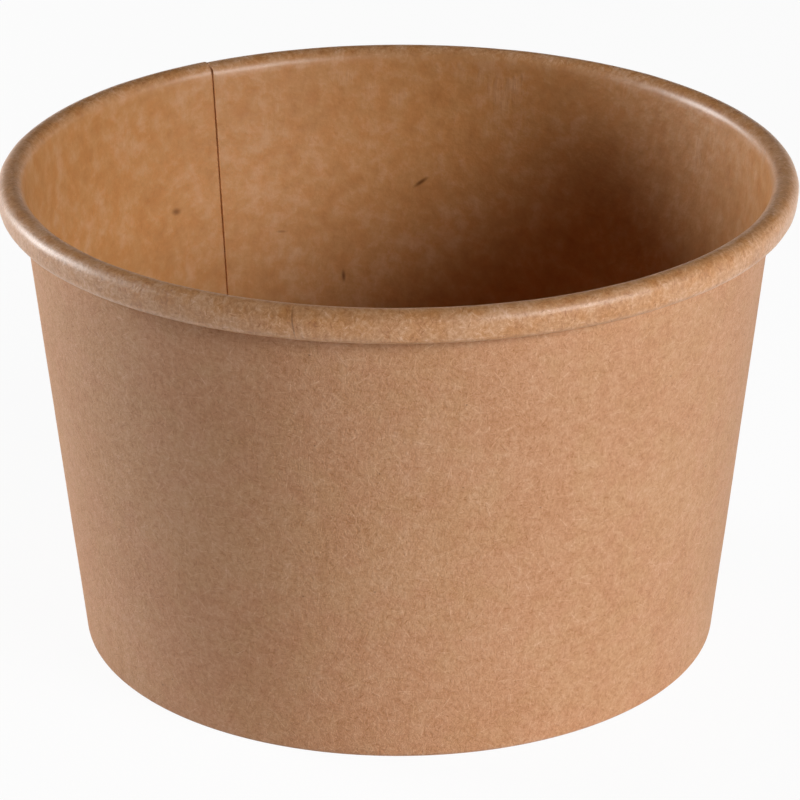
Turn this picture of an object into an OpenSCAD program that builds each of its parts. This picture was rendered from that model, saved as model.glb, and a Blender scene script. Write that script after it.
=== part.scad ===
// Paper tub for a single serving: a cone wound from one blank of board, with a rolled rim,
// a lapped side seam and a folded foot that grips the skirt of a recessed base.
// Origin on the axis at the surface the tub stands on, +Z up, millimetres.

/* [Tub] */
// Outside diameter over the rolled rim
rim_d = 95.5; // [88:0.5:110]
// Outside diameter of the wall where it meets the table
foot_d = 77.8; // [66:0.2:82]
// Overall height
tub_h = 59.2; // [40:0.2:120]

/* [Board] */
// Thickness of the board
board_t = 0.45; // [0.3:0.05:0.55]
// Clearance of the sealed faces in the foot
seal_gap = 0.03; // [0.02:0.01:0.08]

/* [Rolled rim] */
// Width of the roll across the wall
roll_w = 3.2; // [2.8:0.1:4.5]
// Height of the roll along the wall
roll_h = 3.9; // [3.3:0.1:6]
// Slit between the wall and the underside of the roll
roll_slit = 0.15; // [0.1:0.05:0.3]
// Length of the edge tucked up inside the roll
tuck_l = 0.8; // [0.3:0.1:1.2]

/* [Side seam] */
// Direction of the seam's inner edge, counter-clockwise from +X
seam_angle = 123; // [0:1:359]
// Width of the lap
lap_w = 7; // [4:0.5:12]
// Height trimmed off the lap's outer end above the foot and below the roll
lap_trim = 0.6; // [0.3:0.1:2]
// Share of the board's thickness that one end stands off the other after pressing
lap_press_share = 0.9; // [0.5:0.05:0.95]

/* [Foot and base] */
// Height of the base's underside above the table
recess_h = 5.5; // [4.5:0.5:10]
// Length of the board turned up inside the foot
turn_up_l = 3.6; // [2:0.1:4]
// Outside radius of the bend between the base and its skirt
bend_r = 1; // [0.8:0.1:1.5]
// Depth pressed off the foot's fold to give it a flat ring to stand on
foot_press = 0.1; // [0.05:0.05:0.2]

/* [Hidden] */
$fn = 96;
// Sides of the small bends in a preview
bend_fn = 24;
board_colour = [0.72, 0.53, 0.37];
base_colour = [0.66, 0.47, 0.32];

// The top bend of the roll touches the wall's inner face, and its centre sets the taper
foot_r = foot_d / 2;
roll_r = roll_w / 2;
roll_reach = rim_d / 2 - roll_r - foot_r;
roll_rise = tub_h - roll_r;
roll_inner_r = roll_r - board_t;
slant_reach = norm([roll_reach, roll_rise]);
taper = atan2(roll_reach, roll_rise) - asin(roll_inner_r / slant_reach);
wall_l = sqrt(slant_reach * slant_reach - roll_inner_r * roll_inner_r);

// Lower bend of the roll, narrower by the wall and the slit
under_r = (roll_w - board_t - roll_slit) / 2;
under_l = wall_l - (roll_h - roll_r - under_r);

// Three plies and two sealed faces make the foot's width
fold_w = 3 * board_t + 2 * seal_gap;
fold_r = fold_w / 2;
fold_l = (fold_r * (1 - sin(taper)) - foot_press) / cos(taper);

// Lap of the side seam
lap_step = board_t * lap_press_share;
turn_shift = lap_step / 2;
lap_angle = lap_w / foot_r * 180 / PI;
lap_low_l = fold_l + lap_trim;
lap_high_l = under_l - under_r - lap_trim;

// Centre of the bend between the base and its skirt, across and along the wall and as placed
bend_off = board_t + seal_gap + bend_r;
bend_z = recess_h + board_t - bend_r;
bend_l = (bend_z - bend_off * sin(taper)) / cos(taper);
bend_x = foot_r - bend_off * cos(taper) + bend_l * sin(taper);
skirt_l = bend_l - fold_l - seal_gap;

// The board is wound in two half turns. The second, turn 1, is centred half a lap step nearer
// the seam than turn 0, so that the board's outer end comes to lie over its inner end
module wound_half(turn) {
    translate([turn * turn_shift, 0, 0]) rotate_extrude(angle = 180, start = 180 - turn * 180) children();
}

// Section drawn across and along the wall, with its origin at the wall's outer face on the table
module slanted() {
    translate([foot_r, 0]) rotate(-taper) children();
}

// Straight board with its outer face at x
module ply(x, from, to) {
    polygon([[x - board_t, from], [x, from], [x, to], [x - board_t, to]]);
}

// Board bent over the top of its centre
module bend_over(r) {
    difference() {
        circle(r, $fn = bend_fn);
        circle(r - board_t, $fn = bend_fn);
        translate([-2 * r, -4 * r]) square([4 * r, 4 * r]);
    }
}

// Board rolled outward over the top, down, under and up again inside itself
module roll_section() {
    translate([roll_inner_r, wall_l]) bend_over(roll_r);
    ply(roll_w - board_t, under_l, wall_l);
    translate([roll_w - board_t - under_r, under_l]) rotate(180) bend_over(under_r);
    ply(roll_slit + board_t, under_l, under_l + tuck_l);
}

// Board folded in under the skirt and turned up inside it
module foot_section() {
    translate([-fold_r, fold_l]) rotate(180) bend_over(fold_r);
    ply(board_t - fold_w, fold_l, fold_l + turn_up_l);
}

// The whole board from the roll to the turned-up edge, pressed flat on the table
module wall_section() {
    difference() {
        slanted() {
            ply(0, fold_l, wall_l);
            roll_section();
            foot_section();
        }
        translate([0, -fold_w]) square([rim_d, fold_w]);
    }
}

// Outer end of the board, its corners trimmed clear of the roll and the fold
module lap() {
    rotate_extrude(angle = lap_angle, start = 360 - lap_angle)
        translate([lap_step, 0]) slanted() ply(0, lap_low_l, lap_high_l);
}

// Half of the base, from the axis of its turn: the panel, the bend and the skirt along the wall
module base_section(turn) {
    reach = bend_x + turn * turn_shift;
    translate([0, recess_h]) square([reach, board_t]);
    translate([reach, bend_z]) difference() {
        rotate(-taper) {
            bend_over(bend_r);
            ply(bend_r, -skirt_l, 0);
        }
        translate([-2 * bend_r, -bend_r]) square([2 * bend_r, 3 * bend_r]);
    }
}

// Wound cone with its rolled rim, lapped seam and folded foot
module side_wall() {
    color(board_colour) rotate([0, 0, seam_angle]) {
        for (turn = [0, 1])
            wound_half(turn) translate([turn * turn_shift, 0]) wall_section();
        lap();
    }
}

// Recessed base whose skirt follows the wound wall
module base_disc() {
    color(base_colour) rotate([0, 0, seam_angle])
        for (turn = [0, 1])
            wound_half(turn) base_section(turn);
}

side_wall();
base_disc();
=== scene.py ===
"""A paper tub for a single serving, wound from brown board.

It has a rolled rim, a lapped seam and a folded foot.
"""

import math

import bmesh
import bpy
from bpy.props import FloatProperty, FloatVectorProperty, IntProperty, PointerProperty
from bpy.types import Operator, Panel, PropertyGroup
from mathutils import Matrix, Vector, noise


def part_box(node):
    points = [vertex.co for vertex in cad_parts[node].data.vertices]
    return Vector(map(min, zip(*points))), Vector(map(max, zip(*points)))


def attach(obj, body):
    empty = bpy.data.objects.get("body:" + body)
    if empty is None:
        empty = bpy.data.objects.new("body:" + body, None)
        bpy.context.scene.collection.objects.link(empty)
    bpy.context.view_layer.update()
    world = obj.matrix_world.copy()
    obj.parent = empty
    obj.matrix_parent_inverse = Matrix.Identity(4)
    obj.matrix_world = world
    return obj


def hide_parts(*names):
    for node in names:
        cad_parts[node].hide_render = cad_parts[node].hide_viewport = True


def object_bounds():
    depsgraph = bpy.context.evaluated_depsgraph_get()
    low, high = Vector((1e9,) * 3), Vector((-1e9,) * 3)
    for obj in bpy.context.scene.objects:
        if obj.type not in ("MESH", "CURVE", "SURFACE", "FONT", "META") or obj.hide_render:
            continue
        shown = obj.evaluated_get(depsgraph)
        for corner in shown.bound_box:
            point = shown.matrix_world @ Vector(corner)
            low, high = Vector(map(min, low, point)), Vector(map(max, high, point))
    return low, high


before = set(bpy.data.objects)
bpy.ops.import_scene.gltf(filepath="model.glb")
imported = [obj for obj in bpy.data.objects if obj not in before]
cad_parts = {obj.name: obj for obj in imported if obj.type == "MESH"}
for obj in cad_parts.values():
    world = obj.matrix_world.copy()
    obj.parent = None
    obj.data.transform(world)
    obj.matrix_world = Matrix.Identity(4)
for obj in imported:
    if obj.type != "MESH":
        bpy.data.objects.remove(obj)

bl_info = {
    "name": "Paper Tub",
    "version": (1, 0, 0),
    "blender": (4, 5, 0),
    "location": "3D View > Sidebar > Paper Tub",
    "description": "Models and finishes a paper tub wound from brown board",
    "category": "Object",
}

CAD_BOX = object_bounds()
WALL_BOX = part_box("side_wall")
BASE_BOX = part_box("base_disc")
MM = 0.001
TINY = 1e-6
UP = Vector((0, 0, 1))
WALL_NAME = "tub_wall"
BASE_NAME = "tub_base"
BLANK_MAP = "blank"
BOARD_T = 0.45 * MM

# Steps in the stretches of the board's section, and the fewest across the lap
LEG_STEPS = 4
BEND_STEPS = 12
WALL_STEPS = 36
PANEL_STEPS = 24
FEWEST_LAP_STEPS = 4

# Angle beside the seam in which the base eases in, and length above the base in which the waver comes up
SEAM_EASE = math.radians(5)
WAVER_EASE = 8 * MM

# Waves of the board's waver: how close together they are, per metre, and where they start
BROAD_WAVES = (28, Vector((3.1, 1.7, 0)))
CLOSE_WAVES = (95, Vector((0.4, 5.2, 2.2)))
PINCH_WAVES = (170, Vector((2.9, 0.6, 7.3)))
CLOSE_SHARE = 1 / 3

# Faces that meet at more than this angle keep a sharp edge between them
EDGE_ANGLE = math.radians(50)

# Where the film turns glossy, below and above the start of the roll
FILM_BELOW = 0.8 * MM
FILM_ABOVE = 0.3 * MM

# Where the crimps come in below the start of the roll, and the scale along the board that draws them out
CRIMP_FROM = 16 * MM
CRIMP_TO = 2 * MM
CRIMP_STRETCH = 0.12

# The base has no roll, so its finish is given one that would start and end far past its edge
NO_ROLL = (1, 2)

# The stage: lengths in metres, and the sensor's width in millimetres
FLOOR_R = 3.0
BACKDROP_H = 0.5
FLOOR_SIDES = 96
LAMP_AWAY = 0.8
SENSOR_W = 36
CLIP_START = 0.01

# Dark specks in the pulp of the coated face, and painted shade of a crease in the roll: direction in
# degrees, distance along the board in millimetres, tilt in degrees, length and width in millimetres, and
# strength
SPECKS_AND_CREASE_SHADE = (
    (131.9, 41.5, -14, 2.1, 1.4, 0.65),
    (100.3, 29.1, 93, 2.4, 0.8, 0.8),
    (111.5, 36.0, -6, 2.0, 0.5, 0.42),
    (86.2, 41.6, 36, 3.2, 0.8, 0.85),
    # Painted shade: a thin dark line across the front of the roll, where the crease there falls in shade
    (256.0, 62.3, 98, 5.2, 0.3, 0.65),
)


def length(name, description, default):
    """A size in metres."""
    return FloatProperty(name=name, description=description, default=default, unit="LENGTH", precision=5)


def share(name, description, default):
    """A number from 0 to 1."""
    return FloatProperty(name=name, description=description, default=default, min=0, max=1,
                         subtype="FACTOR")


def angle(name, description, degrees):
    """An angle, written in degrees and kept in radians."""
    return FloatProperty(name=name, description=description, default=math.radians(degrees), subtype="ANGLE")


def colour(name, description, default):
    """A linear colour."""
    return FloatVectorProperty(name=name, description=description, default=default, size=3, min=0, max=1,
                               subtype="COLOR")


def power(name, description, default):
    """A lamp's power in watts."""
    return FloatProperty(name=name, description=description, default=default, min=0, unit="POWER")


class TubSizes(PropertyGroup):
    """Driving sizes of the tub, those of the construction"""

    rim_d: length("Rim", "Outside diameter over the rolled rim", 2 * WALL_BOX[1].x)
    foot_d: length("Foot", "Outside diameter of the wall where it meets the table", 77.8 * MM)
    tub_h: length("Height", "Overall height", WALL_BOX[1].z)
    board_t: length("Board", "Thickness of the board", BOARD_T)
    seal_gap: length("Seal", "Clearance of the sealed faces in the foot", 0.03 * MM)
    roll_w: length("Roll width", "Width of the roll across the wall", 3.2 * MM)
    roll_h: length("Roll height", "Height of the roll along the wall", 3.9 * MM)
    roll_slit: length("Roll slit", "Slit between the wall and the underside of the roll", 0.15 * MM)
    tuck_l: length("Tuck", "Length of the edge tucked up inside the roll", 0.8 * MM)
    seam_angle: angle("Seam", "Direction of the seam's inner edge", 123)
    lap_w: length("Lap", "Width of the lap", 7 * MM)
    lap_trim: length("Lap trim", "Height trimmed off the lap's outer end at the foot and the roll",
                     0.6 * MM)
    lap_press: share("Lap press", "Share of the thickness left where the two ends are pressed together",
                     0.9)
    edge_press: share("Edge press", "Share of the thickness left at the seam's inner edge", 0.68)
    seam_lean: angle("Seam lean", "How far round the axis the seam's top leans from its foot", -0.7)
    recess_h: length("Recess", "Height of the base's underside above the table", BASE_BOX[1].z - BOARD_T)
    turn_up_l: length("Turn-up", "Length of the board turned up inside the foot", 3.6 * MM)
    bend_r: length("Base bend", "Outside radius of the bend between the base and its skirt", 1 * MM)
    foot_press: length("Foot press", "Depth pressed off the foot's fold", 0.1 * MM)
    waver: length("Waver", "How far the board strays from a true cone", 0.07 * MM)
    steps: IntProperty(name="Steps", description="Steps in half a turn of the board", default=128, min=24)


class BoardColours(PropertyGroup):
    """Colours of the board's faces and marks"""

    outside: colour("Outside", "Bare face of the board", (0.606, 0.318, 0.155))
    inside: colour("Inside", "Coated face of the board", (0.575, 0.278, 0.101))
    roll: colour("Roll", "Coated face where it is drawn over the roll", (0.588, 0.293, 0.127))
    fibre: colour("Fibre", "Pale fibres in the board", (0.77, 0.48, 0.315))
    shade: colour("Shade", "Dark fibres and hollows in the board", (0.38, 0.127, 0.026))
    blush: colour("Blush", "Pinkish patches of the board", (0.610, 0.306, 0.155))
    warm: colour("Warm", "Warmer patches under the coating", (0.58, 0.264, 0.089))
    # Paler than the faces as raw cut fibre is, and paled further as painted light that lifts the shaded step
    # of the seam
    edge: colour("Edge", "Cut edges of the board", (0.88, 0.57, 0.35))
    # Also the colour of the painted shade line at the roll's crease
    fleck: colour("Fleck", "Specks and bark in the pulp", (0.15, 0.045, 0.006))


class StageSettings(PropertyGroup):
    """Floor, lamps and camera"""

    key: power("Key", "Soft box at the front right", 0.87)
    rim: power("Rim light", "Soft box behind at the left", 5.05)
    ambient: share("Ambient", "Level of the light from all around", 0.01)
    floor_colour: colour("Floor", "Pale floor", (0.92, 0.92, 0.92))
    shadow: share("Shadow", "How much of the floor's own shade the camera sees", 0.06)
    camera_back: length("Camera back", "Distance of the camera in front of the axis", 440.51 * MM)
    camera_up: length("Camera up", "Height of the camera above the table", 218.01 * MM)
    camera_pitch: angle("Camera pitch", "How far the camera looks down", 23.268)
    camera_roll: angle("Camera roll", "Turn of the camera about its line of sight", -0.172)
    camera_lens: FloatProperty(name="Lens", description="Focal length on a 36 mm sensor", default=175.6,
                               unit="CAMERA")


class TubProperties(PropertyGroup):
    """Everything that can be changed on the tub and its stage"""

    sizes: PointerProperty(type=TubSizes)
    colours: PointerProperty(type=BoardColours)
    stage: PointerProperty(type=StageSettings)


class Section:
    """Sizes that follow from the driving ones, across and along the slanted wall."""

    def __init__(self, sizes):
        self.foot_r = sizes.foot_d / 2
        self.roll_r = sizes.roll_w / 2
        self.roll_inner_r = self.roll_r - sizes.board_t
        reach = sizes.rim_d / 2 - self.roll_r - self.foot_r
        rise = sizes.tub_h - self.roll_r
        slant = math.hypot(reach, rise)
        self.taper = math.atan2(reach, rise) - math.asin(self.roll_inner_r / slant)
        self.wall_l = math.sqrt(slant ** 2 - self.roll_inner_r ** 2)
        self.under_r = (sizes.roll_w - sizes.board_t - sizes.roll_slit) / 2
        self.under_l = self.wall_l - (sizes.roll_h - self.roll_r - self.under_r)
        self.fold_w = 3 * sizes.board_t + 2 * sizes.seal_gap
        self.fold_r = self.fold_w / 2
        self.fold_l = (self.fold_r * (1 - math.sin(self.taper)) - sizes.foot_press) / math.cos(self.taper)
        self.lap_step = sizes.board_t * sizes.lap_press
        self.turn_shift = self.lap_step / 2
        self.lap_angle = sizes.lap_w / self.foot_r
        self.lap_low_l = self.fold_l + sizes.lap_trim
        self.lap_high_l = self.under_l - self.under_r - sizes.lap_trim
        bend_off = sizes.board_t + sizes.seal_gap + sizes.bend_r
        self.bend_z = sizes.recess_h + sizes.board_t - sizes.bend_r
        bend_l = (self.bend_z - bend_off * math.sin(self.taper)) / math.cos(self.taper)
        self.bend_x = self.foot_r - bend_off * math.cos(self.taper) + bend_l * math.sin(self.taper)
        self.skirt_l = bend_l - self.fold_l - sizes.seal_gap
        self.apex = self.foot_r / math.sin(self.taper)

    def fan(self, around):
        """Direction on the flat blank of a place around the wound wall."""
        return (around - math.pi) * math.sin(self.taper)

    def on_blank(self, along, around):
        """Place on the flat blank, in metres, of a place along and around the wall."""
        reach = self.apex + along
        return reach * math.sin(self.fan(around)), reach * math.cos(self.fan(around)) - self.apex

    def spot_on_blank(self, sizes, turn, along, tilt, long, wide):
        """Place, turn and size of a mark on the flat blank, in millimetres."""
        seam = sizes.seam_angle + sizes.seam_lean * along * MM / self.wall_l
        around = (seam - math.radians(turn)) % math.tau
        x, y = self.on_blank(along * MM, around)
        return x / MM, y / MM, math.radians(tilt) - self.fan(around), long, wide


class BoardPath:
    """A wire along the middle of the board, drawn in the XZ plane by moving its tip."""

    def __init__(self, bm, x, z, along):
        self.bm = bm
        self.along = bm.verts.layers.float.new("along")
        self.tip = bm.verts.new((x, 0, z))
        self.tip[self.along] = along

    def straight(self, x, z, steps):
        """Draws the tip along a straight line."""
        step = (Vector((x, 0, z)) - self.tip.co) / steps
        for _ in range(steps):
            self.tip = bmesh.ops.extrude_vert_indiv(self.bm, verts=[self.tip])["verts"][0]
            bmesh.ops.translate(self.bm, verts=[self.tip], vec=step)

    def bend(self, x, z, turn, steps):
        """Turns the tip about a centre, anticlockwise with +X to the right and +Z up."""
        made = bmesh.ops.spin(self.bm, geom=[self.tip], cent=(x, 0, z), axis=(0, -1, 0), angle=turn,
                              steps=steps)
        self.tip = made["geom_last"][0]

    def measure(self):
        """Keeps each point's distance along the board."""
        self.bm.verts.ensure_lookup_table()
        for before, vert in zip(self.bm.verts[:-1], self.bm.verts[1:]):
            vert[self.along] = before[self.along] + (vert.co - before.co).length


def draw_wall(bm, sizes, section):
    """Draws the board from the edge turned up in the foot to the edge tucked into the roll."""
    half = sizes.board_t / 2
    leg_x = half - section.fold_w
    flank_x = sizes.roll_w - sizes.board_t - half
    under_x = sizes.roll_w - sizes.board_t - section.under_r
    start = section.fold_l - sizes.turn_up_l - math.pi * (section.fold_r - half)
    path = BoardPath(bm, leg_x, section.fold_l + sizes.turn_up_l, start)
    path.straight(leg_x, section.fold_l, LEG_STEPS)
    path.bend(-section.fold_r, section.fold_l, math.pi, BEND_STEPS)
    path.straight(-half, section.lap_low_l, 1)
    path.straight(-half, section.lap_high_l, WALL_STEPS)
    path.straight(-half, section.wall_l, LEG_STEPS)
    path.bend(section.roll_inner_r, section.wall_l, -math.pi, BEND_STEPS)
    path.straight(flank_x, section.under_l, LEG_STEPS)
    path.bend(under_x, section.under_l, -math.pi, BEND_STEPS)
    path.straight(sizes.roll_slit + half, section.under_l + sizes.tuck_l, LEG_STEPS)
    path.measure()
    slant = Matrix.Rotation(section.taper, 3, "Y")
    bmesh.ops.rotate(bm, verts=bm.verts[:], cent=(0, 0, 0), matrix=slant)
    bmesh.ops.translate(bm, verts=bm.verts[:], vec=(section.foot_r, 0, 0))
    for vert in bm.verts:
        vert.co.z = max(vert.co.z, half)


def draw_base(bm, sizes, section):
    """Draws the base from its middle over the bend to the end of its skirt."""
    half = sizes.board_t / 2
    panel_z = sizes.recess_h + half
    path = BoardPath(bm, 0, panel_z, 0)
    path.straight(section.bend_x, panel_z, PANEL_STEPS)
    path.bend(section.bend_x, section.bend_z, -math.pi / 2 - section.taper, BEND_STEPS)
    down = path.tip.co - section.skirt_l * Vector((math.sin(section.taper), 0, math.cos(section.taper)))
    path.straight(down.x, down.z, LEG_STEPS)
    path.measure()


def wind(bm, profile, axis_x, start, turn, steps):
    """Winds a profile clockwise about an upright axis and returns its last copy."""
    around = bm.verts.layers.float["around"]
    known = len(bm.verts)
    made = bmesh.ops.spin(bm, geom=profile, cent=(axis_x, 0, 0), axis=UP, angle=-turn, steps=steps)
    bm.verts.ensure_lookup_table()
    for vert in bm.verts[known:]:
        clockwise = -math.atan2(vert.co.y, vert.co.x - axis_x)
        vert[around] = start + (clockwise - start) % math.tau
    return made["geom_last"]


def wind_wall(bm, section, steps):
    """Winds the board in two half turns, the second nearer the seam, and lays its end over its start."""
    along = bm.verts.layers.float["along"]
    bm.verts.layers.float.new("around")
    middle = wind(bm, bm.verts[:] + bm.edges[:], 0, 0, math.pi, steps)
    end = wind(bm, middle, section.turn_shift, math.pi, math.pi, steps)
    low, high = section.lap_low_l - TINY, section.lap_high_l + TINY
    edges = [item for item in end if isinstance(item, bmesh.types.BMEdge)]
    lapped = [edge for edge in edges if all(low < vert[along] < high for vert in edge.verts)]
    lap = lapped + list(dict.fromkeys(vert for edge in lapped for vert in edge.verts))
    lap_steps = max(FEWEST_LAP_STEPS, round(steps * section.lap_angle / math.pi))
    wind(bm, lap, 0, math.tau, section.lap_angle, lap_steps)


def press_lap(bm, sizes, section):
    """Weights that thin the board where its two ends lie on each other, most at the inner edge."""
    along = bm.verts.layers.float["along"]
    around = bm.verts.layers.float["around"]
    weights = bm.verts.layers.deform.verify()
    for vert in bm.verts:
        lapped = section.lap_low_l - TINY < vert[along] < section.lap_high_l + TINY
        ends = vert[around] < section.lap_angle or vert[around] > math.tau + TINY
        left = sizes.lap_press if lapped and ends else 1
        if vert[around] < TINY and section.lap_low_l - TINY < vert[along] < section.wall_l + TINY:
            vert.co.x += (left - sizes.edge_press) * sizes.board_t / 2
            left = sizes.edge_press
        vert[weights][0] = left


def lean_seam(bm, sizes, section):
    """Turns the board about the axis in proportion to its height, which leans the seam."""
    along = bm.verts.layers.float["along"]
    for vert in bm.verts:
        vert.co.rotate(Matrix.Rotation(sizes.seam_lean * vert[along] / section.wall_l, 3, UP))


def eased(value):
    """From 0 to 1, smoothly, while the value goes from 0 to 1."""
    held = min(1, max(0, value))
    return held * held * (3 - 2 * held)


def from_axis(vert):
    """The level way from the axis out to a point."""
    return Vector((vert.co.x, vert.co.y, 0))


def winding_step(section, turn):
    """How far the second half turn stands out at an angle from the seam, and the base's share of that."""
    return section.turn_shift * (1 + math.cos(turn)), eased(turn / SEAM_EASE)


def ease_foot(bm, sizes, section):
    """Sets the turned-up edge in beside the seam as far as the base's skirt is set in there."""
    along = bm.verts.layers.float["along"]
    around = bm.verts.layers.float["around"]
    fold_arc = math.pi * (section.fold_r - sizes.board_t / 2)
    for vert in bm.verts:
        turn = max(0, math.tau - vert[around])
        if vert[along] < section.fold_l and turn < SEAM_EASE:
            step, taken = winding_step(section, turn)
            part = min(1, (section.fold_l - vert[along]) / fold_arc)
            vert.co -= from_axis(vert).normalized() * step * (1 - taken) * part


def follow_winding(bm, section):
    """Sets the base's rim out with the second half turn of the wall, easing it in beside the seam."""
    for vert in bm.verts:
        turn = math.atan2(vert.co.y, vert.co.x)
        if turn > 0:
            step, taken = winding_step(section, turn)
            vert.co += from_axis(vert) * step * taken / section.bend_x


def stray(place, waves):
    """Smooth noise about 0 at a place, with waves of one kind."""
    per_metre, start = waves
    return noise.noise(place * per_metre + start)


def waver(bm, sizes, section):
    """Lets the board stray from its true form, more so in the roll, but not in the foot round the base."""
    along = bm.verts.layers.float["along"]
    held_l = sizes.recess_h + sizes.board_t
    for vert in bm.verts:
        free = eased((vert[along] - held_l) / WAVER_EASE)
        waves = stray(vert.co, BROAD_WAVES) + stray(vert.co, CLOSE_WAVES) * CLOSE_SHARE
        if vert[along] > section.wall_l:
            waves += stray(vert.co, PINCH_WAVES)
        vert.co += from_axis(vert).normalized() * sizes.waver * free * waves


def turn_to_seam(bm, sizes):
    """Turns a piece about the axis from where it was wound to the seam's direction."""
    turn = Matrix.Rotation(sizes.seam_angle, 3, UP)
    bmesh.ops.rotate(bm, verts=bm.verts[:], cent=(0, 0, 0), matrix=turn)


def lay_flat(bm, place):
    """Maps every corner to its place on the flat blank, in metres."""
    layer = bm.loops.layers.uv.new(BLANK_MAP)
    for face in bm.faces:
        for loop in face.loops:
            loop[layer].uv = place(loop.vert)


def face_out(bm, is_outside):
    """Turns all faces so that the one asked about looks outward."""
    bmesh.ops.recalc_face_normals(bm, faces=bm.faces[:])
    if not any(is_outside(face) for face in bm.faces):
        bmesh.ops.reverse_faces(bm, faces=bm.faces[:])


def board_piece(name, bm, sizes, finishes):
    """Makes an object of a sheet with the board's thickness and a finish for each face and the cut edge."""
    mesh = bpy.data.meshes.new(name)
    bm.to_mesh(mesh)
    bm.free()
    piece = bpy.data.objects.new(name, mesh)
    bpy.context.scene.collection.objects.link(piece)
    for finish in finishes:
        mesh.materials.append(finish)
    board = piece.modifiers.new("Board", "SOLIDIFY")
    board.thickness = sizes.board_t
    board.offset = 0
    board.use_even_offset = True
    board.use_quality_normals = True
    board.material_offset = 1
    board.material_offset_rim = 2
    if name == WALL_NAME:
        piece.vertex_groups.new(name="press")
        board.vertex_group = "press"
    graph = bpy.context.evaluated_depsgraph_get()
    solid = bpy.data.meshes.new_from_object(piece.evaluated_get(graph), preserve_all_data_layers=True,
                                            depsgraph=graph)
    piece.modifiers.clear()
    piece.data = solid
    solid.name = name
    solid.shade_smooth()
    solid.set_sharp_from_angle(angle=EDGE_ANGLE)
    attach(piece, "root")
    return piece


class Shade:
    """One socket of a material. Arithmetic on it adds nodes to that material."""

    def __init__(self, tree, socket=None):
        self.tree = tree
        self.socket = socket

    def node(self, kind, settings=None, inputs=None, output=0):
        """Adds a node, sets it up, fills or links its sockets and returns one of its outputs."""
        made = self.tree.nodes.new("ShaderNode" + kind)
        for name, value in (settings or {}).items():
            setattr(made, name, value)
        for key, value in (inputs or {}).items():
            if isinstance(value, Shade):
                self.tree.links.new(value.socket, made.inputs[key])
            else:
                made.inputs[key].default_value = value
        return Shade(self.tree, made.outputs[output])

    def other(self, output):
        """Another output of the same node."""
        return Shade(self.tree, self.socket.node.outputs[output])

    def math(self, operation, first, second=0.0):
        """One Math node."""
        return self.node("Math", {"operation": operation}, {0: first, 1: second})

    def __add__(self, other):
        return self.math("ADD", self, other)

    def __sub__(self, other):
        return self.math("SUBTRACT", self, other)

    def __rsub__(self, other):
        return self.math("SUBTRACT", other, self)

    def __mul__(self, other):
        return self.math("MULTIPLY", self, other)

    __radd__ = __add__
    __rmul__ = __mul__

    def __abs__(self):
        return self.math("ABSOLUTE", self)

    def above(self, floor):
        """This value, or the floor where that is larger."""
        return self.math("MAXIMUM", self, floor)

    def ease(self, low, high):
        """From 0 at low to 1 at high, smoothly, also where high is the smaller."""
        limits = {"Value": self, "From Min": low, "From Max": high}
        return self.node("MapRange", {"interpolation_type": "SMOOTHSTEP"}, limits)

    def mix(self, first, second):
        """A colour between two, by this share."""
        pair = [c if isinstance(c, Shade) else (*c, 1) for c in (first, second)]
        return self.node("Mix", {"data_type": "RGBA"}, {0: self, 6: pair[0], 7: pair[1]}, 2)

    def vector(self, operation, *others, output=0):
        """One Vector Math node."""
        return self.node("VectorMath", {"operation": operation}, dict(enumerate((self, *others))), output)

    def placed(self, x, y, shift=0.0):
        """These coordinates, scaled and shifted."""
        return self.vector("MULTIPLY_ADD", (x, y, 0), (shift, -shift, 0))

    def noise(self, size, shift, detail=2.0, rough=0.5):
        """Smooth noise about 0 with patches of this size."""
        at = self.placed(1 / size, 1 / size, shift)
        sockets = {"Vector": at, "Scale": 1.0, "Detail": detail, "Roughness": rough}
        return self.node("TexNoise", {"noise_dimensions": "2D"}, sockets) * 2 - 1

    def fibres(self, cell, width, curl, seed):
        """Single fibres, one in each cell, with their own direction, curve and strength."""
        at = self.placed(1 / cell, 1 / cell, seed)
        sockets = {"Vector": at, "Scale": 1.0}
        place = self.node("TexVoronoi", {"voronoi_dimensions": "2D"}, sockets, "Position")
        chance = self.node("SeparateColor", inputs={0: place.other("Color")})
        aim = {"Vector": at.vector("SUBTRACT", place), "Angle": chance * math.tau}
        turned = self.node("VectorRotate", {"rotation_type": "Z_AXIS"}, aim)
        run = self.node("SeparateXYZ", inputs={0: turned})
        off = run.other(1) + run * run * (chance.other(1) - 0.5) * curl
        return abs(off).ease(width / cell, 0) * abs(run).ease(0.5, 0.3) * chance.other(2)

    def specks(self, cell, size, seed, few):
        """Round specks in a few of the cells."""
        at = self.placed(1 / cell, 1 / cell, seed)
        away = self.node("TexVoronoi", {"voronoi_dimensions": "2D"}, {"Vector": at, "Scale": 1.0})
        chance = self.node("SeparateColor", inputs={0: away.other("Color")})
        return away.ease(size / cell, 0.4 * size / cell) * chance.ease(1 - few, 1 - 0.8 * few)

    def spot(self, x, y, turn, long, wide):
        """A soft oval mark."""
        placing = {"Vector": self, "Location": (x, y, 0), "Rotation": (0, 0, turn),
                   "Scale": (long / 2, wide / 2, 1)}
        away = self.node("Mapping", {"vector_type": "TEXTURE"}, placing).vector("LENGTH", output=1)
        return away.ease(1, 0.1)


def new_finish(name):
    """A new material, and the flat blank's coordinates in millimetres as its first socket."""
    material = bpy.data.materials.new(name)
    material.use_nodes = True
    start = Shade(material.node_tree)
    return material, start.node("UVMap", {"uv_map": BLANK_MAP}).placed(1 / MM, 1 / MM)


def set_surface(material, links, constants):
    """Links what varies to the material's shader and sets what doesn't."""
    surface = material.node_tree.nodes["Principled BSDF"]
    for name, value in constants.items():
        surface.inputs[name].default_value = value
    for name, value in links.items():
        material.node_tree.links.new(value.socket, surface.inputs[name])


def toned(tone, base, pale, dark):
    """The base colour, towards the pale one where the tone is above 0 and the dark one below that."""
    return (0 - tone).above(0).mix(tone.above(0).mix(base, pale), dark)


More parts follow.
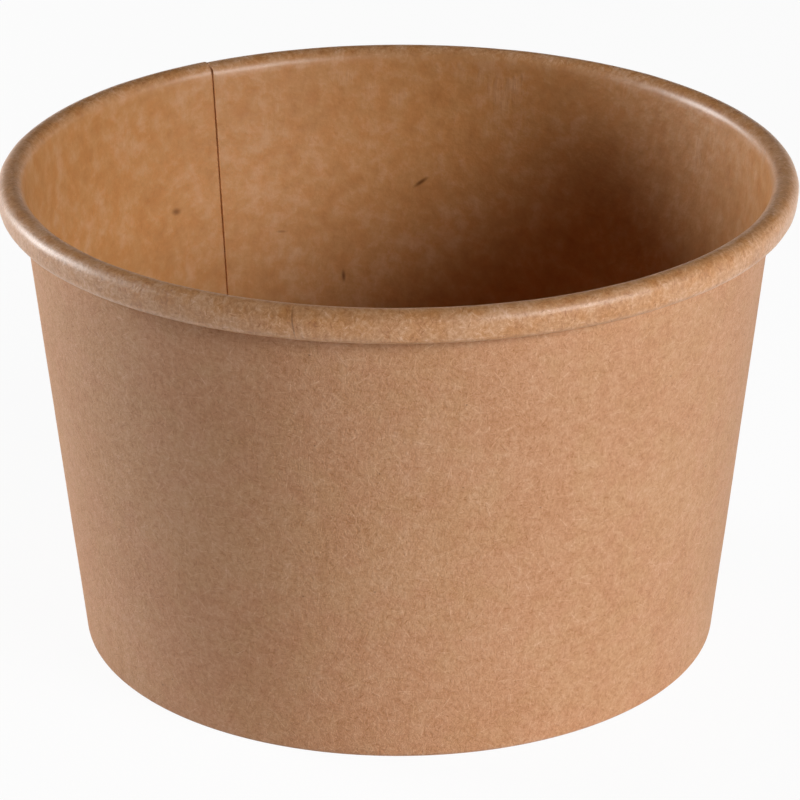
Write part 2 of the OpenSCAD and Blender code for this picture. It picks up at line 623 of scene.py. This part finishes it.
def bare_finish(name, colours):
    """The bare face: a felt of fine fibres, pale and dark, on mottled board."""
    material, blank = new_finish(name)
    short = blank.fibres(cell=0.7, width=0.07, curl=0.5, seed=3)
    short += blank.fibres(cell=1.1, width=0.075, curl=0.4, seed=17)
    long = blank.fibres(cell=2.6, width=0.075, curl=0.3, seed=29)
    long += blank.fibres(cell=1.9, width=0.07, curl=0.3, seed=73)
    pale = short + 1.3 * long
    dark = blank.fibres(cell=0.85, width=0.08, curl=0.5, seed=41)
    dark += blank.fibres(cell=0.5, width=0.07, curl=0.4, seed=53)
    felt = blank.noise(size=0.5, shift=5, detail=4, rough=0.75)
    cloud = blank.noise(size=1.5, shift=11, detail=3, rough=0.65)
    broad = blank.noise(size=9, shift=83)
    tone = 0.43 * pale - 0.50 * dark + 0.72 * felt + 0.44 * cloud + 0.19 * broad
    patch = (blank.noise(size=4, shift=23) + blank.noise(size=18, shift=59)).ease(-0.45, 0.45)
    face = toned(tone, patch.mix(colours.outside, colours.blush), colours.fibre, colours.shade)
    flecks = 0.6 * blank.specks(cell=9, size=0.14, seed=61, few=0.3)
    flecked = flecks.mix(face, colours.fleck)
    relief = 0.01 * (pale - dark) + 0.075 * felt
    bump = blank.node("Bump", inputs={"Strength": 1.0, "Distance": MM, "Height": relief})
    links = {"Base Color": flecked, "Roughness": 0.78 + 0.08 * felt, "Normal": bump}
    set_surface(material, links, {"Specular IOR Level": 0.4, "Sheen Weight": 0.2, "Sheen Roughness": 0.5})
    return material


def coated_finish(name, colours, roll_from, specks_and_crease_shade):
    """The coated face: the board under a satin film, smooth on the flat and drawn open over the roll."""
    material, blank = new_finish(name)
    along = blank.node("Attribute", {"attribute_name": "along"}, output="Fac")
    roll = along.ease(*roll_from)
    film = along.ease(roll_from[0] - FILM_BELOW, roll_from[0] + FILM_ABOVE)
    near = along.ease(roll_from[0] - CRIMP_FROM, roll_from[0] - CRIMP_TO)
    around = blank.node("Attribute", {"attribute_name": "around"}, output="Fac")
    rim_place = {0: around * (WALL_BOX[1].x / MM), 1: along * (CRIMP_STRETCH / MM)}
    upright = blank.node("CombineXYZ", inputs=rim_place)
    pale = blank.fibres(cell=0.7, width=0.08, curl=0.6, seed=7)
    pale += blank.fibres(cell=1.2, width=0.085, curl=0.5, seed=37)
    dark = blank.fibres(cell=0.8, width=0.085, curl=0.6, seed=67)
    felt = blank.noise(size=0.5, shift=15, detail=4, rough=0.75)
    cloud = blank.noise(size=2.0, shift=31, detail=3, rough=0.55)
    broad = blank.noise(size=8, shift=47)
    crimp = near * broad.ease(0, 0.5) * upright.noise(size=0.55, shift=19, detail=3, rough=0.6)
    smooth = 0.10 * pale - 0.08 * dark + 0.18 * felt + 0.46 * cloud + 0.32 * broad + 0.12 * crimp
    drawn = 0.52 * pale - 0.72 * dark + 1.30 * felt + 0.60 * cloud + 0.32 * broad
    tone = smooth + roll * (drawn - smooth)
    patch = blank.noise(size=2.6, shift=91).ease(-0.3, 0.4)
    flat_base = patch.mix(colours.inside, colours.warm)
    roll_base = patch.mix(colours.roll, colours.warm)
    face = toned(tone, roll.mix(flat_base, roll_base), colours.fibre, colours.shade)
    # Dark specks in the pulp, and a painted shade line where the roll has a crease
    for *spot, strength in specks_and_crease_shade:
        face = (strength * blank.spot(*spot)).mix(face, colours.fleck)
    relief = 0.05 * cloud + 0.05 * roll * felt + 0.03 * crimp
    bump = blank.node("Bump", inputs={"Strength": 1.0, "Distance": MM, "Height": relief})
    links = {"Base Color": face, "Roughness": 0.5 + 0.06 * cloud, "Coat Weight": 0.7 * film, "Normal": bump}
    set_surface(material, links, {"Specular IOR Level": 0.45, "Coat Roughness": 0.38})
    return material


def cut_finish(name, colours):
    """The cut edge: raw fibre paler than the faces, paled further as painted light on the shaded step of the
    seam, and unevenly mottled.
    """
    material, blank = new_finish(name)
    tone = 0.5 * blank.noise(size=0.3, shift=71)
    face = toned(tone, colours.edge, colours.outside, colours.fleck)
    set_surface(material, {"Base Color": face, "Roughness": 0.85 + 0.1 * tone}, {})
    return material


class TUB_OT_wind_wall(Operator):
    """Wind the wall of the tub with its rolled rim, lapped seam and folded foot"""

    bl_idname = "tub.wind_wall"
    bl_label = "Wind Wall"

    def execute(self, context):
        tub = context.scene.tub
        sizes, colours, section = tub.sizes, tub.colours, Section(tub.sizes)
        bm = bmesh.new()
        draw_wall(bm, sizes, section)
        wind_wall(bm, section, sizes.steps)
        press_lap(bm, sizes, section)
        ease_foot(bm, sizes, section)
        lean_seam(bm, sizes, section)
        waver(bm, sizes, section)
        along = bm.verts.layers.float["along"]
        around = bm.verts.layers.float["around"]

        def looks_out(face):
            wall = all(section.lap_low_l < v[along] < section.lap_high_l for v in face.verts)
            return wall and face.normal.dot(face.calc_center_median()) > 0

        lay_flat(bm, lambda vert: section.on_blank(vert[along], vert[around]))
        face_out(bm, looks_out)
        turn_to_seam(bm, sizes)
        roll_from = section.wall_l, section.wall_l + sizes.roll_w / 2
        specks_and_crease_shade = [(*section.spot_on_blank(sizes, *mark), strength) for *mark, strength in SPECKS_AND_CREASE_SHADE]
        finishes = [
            bare_finish("board_outside", colours),
            coated_finish("board_inside", colours, roll_from, specks_and_crease_shade),
            cut_finish("board_edge", colours),
        ]
        wall = board_piece(WALL_NAME, bm, sizes, finishes)
        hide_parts("side_wall")
        return {"FINISHED"}


class TUB_OT_fit_base(Operator):
    """Fit the recessed base with its skirt inside the foot"""

    bl_idname = "tub.fit_base"
    bl_label = "Fit Base"

    def execute(self, context):
        tub = context.scene.tub
        sizes, colours, section = tub.sizes, tub.colours, Section(tub.sizes)
        bm = bmesh.new()
        draw_base(bm, sizes, section)
        along = bm.verts.layers.float["along"]
        bmesh.ops.spin(bm, geom=bm.verts[:] + bm.edges[:], cent=(0, 0, 0), axis=UP, angle=math.tau,
                       steps=2 * sizes.steps, use_merge=True)
        bmesh.ops.remove_doubles(bm, verts=bm.verts[:], dist=TINY)
        follow_winding(bm, section)

        def on_blank(vert):
            turn = math.atan2(vert.co.y, vert.co.x)
            return vert[along] * math.cos(turn), vert[along] * math.sin(turn)

        def looks_down(face):
            return face.normal.z < 0 and face.calc_center_median().xy.length < section.bend_x / 2

        lay_flat(bm, on_blank)
        face_out(bm, looks_down)
        turn_to_seam(bm, sizes)
        finishes = [
            bare_finish("base_underside", colours),
            coated_finish("base_inside", colours, NO_ROLL, []),
            cut_finish("base_edge", colours),
        ]
        base = board_piece(BASE_NAME, bm, sizes, finishes)
        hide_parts("base_disc")
        return {"FINISHED"}


def seen_white(material, level):
    """How white the backdrop is: up to the level for the camera and reflections, and not at all as light."""
    start = Shade(material.node_tree)
    path = start.node("LightPath", output="Is Camera Ray")
    seen = path + path.other("Is Glossy Ray") + path.other("Is Transmission Ray")
    return seen.math("MINIMUM", seen, 1.0) * level


def lay_floor(stage):
    """A pale floor that keeps the tub's shadow faintly visible, with a low wall round it for a backdrop."""
    bm = bmesh.new()
    bmesh.ops.create_circle(bm, cap_ends=True, segments=FLOOR_SIDES, radius=FLOOR_R)
    edge = [item for item in bm.edges if item.is_boundary]
    wall = bmesh.ops.extrude_edge_only(bm, edges=edge)["geom"]
    top = [item for item in wall if isinstance(item, bmesh.types.BMVert)]
    bmesh.ops.translate(bm, verts=top, vec=(0, 0, BACKDROP_H))
    mesh = bpy.data.meshes.new("floor")
    bm.to_mesh(mesh)
    bm.free()
    floor = bpy.data.objects.new("floor", mesh)
    bpy.context.scene.collection.objects.link(floor)
    material = bpy.data.materials.new("floor")
    material.use_nodes = True
    tree = material.node_tree
    surface = tree.nodes["Principled BSDF"]
    surface.inputs["Base Color"].default_value = (*stage.floor_colour, 1)
    surface.inputs["Roughness"].default_value = 1
    surface.inputs["Specular IOR Level"].default_value = 0
    white = Shade(tree).node("Emission", inputs={"Color": (1, 1, 1, 1), "Strength": 1.0})
    shown = white.node("MixShader", inputs={0: seen_white(material, 1 - stage.shadow),
                                            1: Shade(tree, surface.outputs[0]), 2: white})
    tree.links.new(shown.socket, tree.nodes["Material Output"].inputs["Surface"])
    mesh.materials.append(material)


def light_world(stage):
    """A dim, even light from all around."""
    world = bpy.data.worlds.new("studio")
    bpy.context.scene.world = world
    world.use_nodes = True
    background = world.node_tree.nodes["Background"]
    background.inputs["Color"].default_value = (1, 1, 1, 1)
    background.inputs["Strength"].default_value = stage.ambient


def hang_lamp(name, azimuth, elevation, width, height, watts, aim_z, spread):
    """A soft box that looks at a height on the axis. Azimuth 0 is in front, 90 at the right."""
    lamp = bpy.data.lights.new(name, "AREA")
    lamp.shape = "RECTANGLE"
    lamp.size = width
    lamp.size_y = height
    lamp.energy = watts
    lamp.spread = math.radians(spread)
    light = bpy.data.objects.new(name, lamp)
    bpy.context.scene.collection.objects.link(light)
    turn, rise = math.radians(azimuth), math.radians(elevation)
    back = Vector((math.sin(turn) * math.cos(rise), -math.cos(turn) * math.cos(rise), math.sin(rise)))
    light.location = Vector((0, 0, CAD_BOX[1].z / 2)) + back * LAMP_AWAY
    light.rotation_euler = (light.location - Vector((0, 0, aim_z))).to_track_quat("Z", "Y").to_euler()


def set_camera(stage):
    """The camera in front of the tub, looking down into it."""
    lens = bpy.data.cameras.new("camera")
    lens.lens = stage.camera_lens
    lens.sensor_width = SENSOR_W
    lens.clip_start = CLIP_START
    camera = bpy.data.objects.new("camera", lens)
    bpy.context.scene.collection.objects.link(camera)
    pitch = Matrix.Rotation(math.pi / 2 - stage.camera_pitch, 4, "X")
    roll = Matrix.Rotation(stage.camera_roll, 4, "Z")
    place = Matrix.Translation((0, -stage.camera_back, stage.camera_up))
    camera.matrix_world = place @ (pitch @ roll)
    bpy.context.scene.camera = camera


class TUB_OT_set_stage(Operator):
    """Lay the floor, hang the lamps and set the camera"""

    bl_idname = "tub.set_stage"
    bl_label = "Set Stage"

    def execute(self, context):
        stage = context.scene.tub.stage
        lay_floor(stage)
        light_world(stage)
        hang_lamp("key", azimuth=50, elevation=22, width=0.55, height=0.26, watts=stage.key,
                  aim_z=-0.08, spread=60)
        hang_lamp("rim", azimuth=-113, elevation=14, width=0.3, height=0.28, watts=stage.rim,
                  aim_z=0.03, spread=180)
        set_camera(stage)
        context.scene.view_settings.view_transform = "Standard"
        return {"FINISHED"}


class TUB_PT_panel(Panel):
    """Sizes, colours and stage of the tub"""

    bl_idname = "TUB_PT_panel"
    bl_label = "Paper Tub"
    bl_space_type = "VIEW_3D"
    bl_region_type = "UI"
    bl_category = "Paper Tub"

    def draw(self, context):
        tub = context.scene.tub
        for operator in OPERATORS:
            self.layout.operator(operator.bl_idname)
        for group in (tub.sizes, tub.colours, tub.stage):
            column = self.layout.column(align=True)
            for name in group.__annotations__:
                column.prop(group, name)


OPERATORS = (TUB_OT_wind_wall, TUB_OT_fit_base, TUB_OT_set_stage)
CLASSES = (TubSizes, BoardColours, StageSettings, TubProperties, *OPERATORS, TUB_PT_panel)


def register():
    for item in CLASSES:
        bpy.utils.register_class(item)
    bpy.types.Scene.tub = PointerProperty(type=TubProperties)


def unregister():
    del bpy.types.Scene.tub
    for item in reversed(CLASSES):
        bpy.utils.unregister_class(item)


def main():
    """Builds the tub and its stage."""
    register()
    bpy.ops.tub.wind_wall()
    bpy.ops.tub.fit_base()
    bpy.ops.tub.set_stage()


if __name__ == "__main__":
    main()
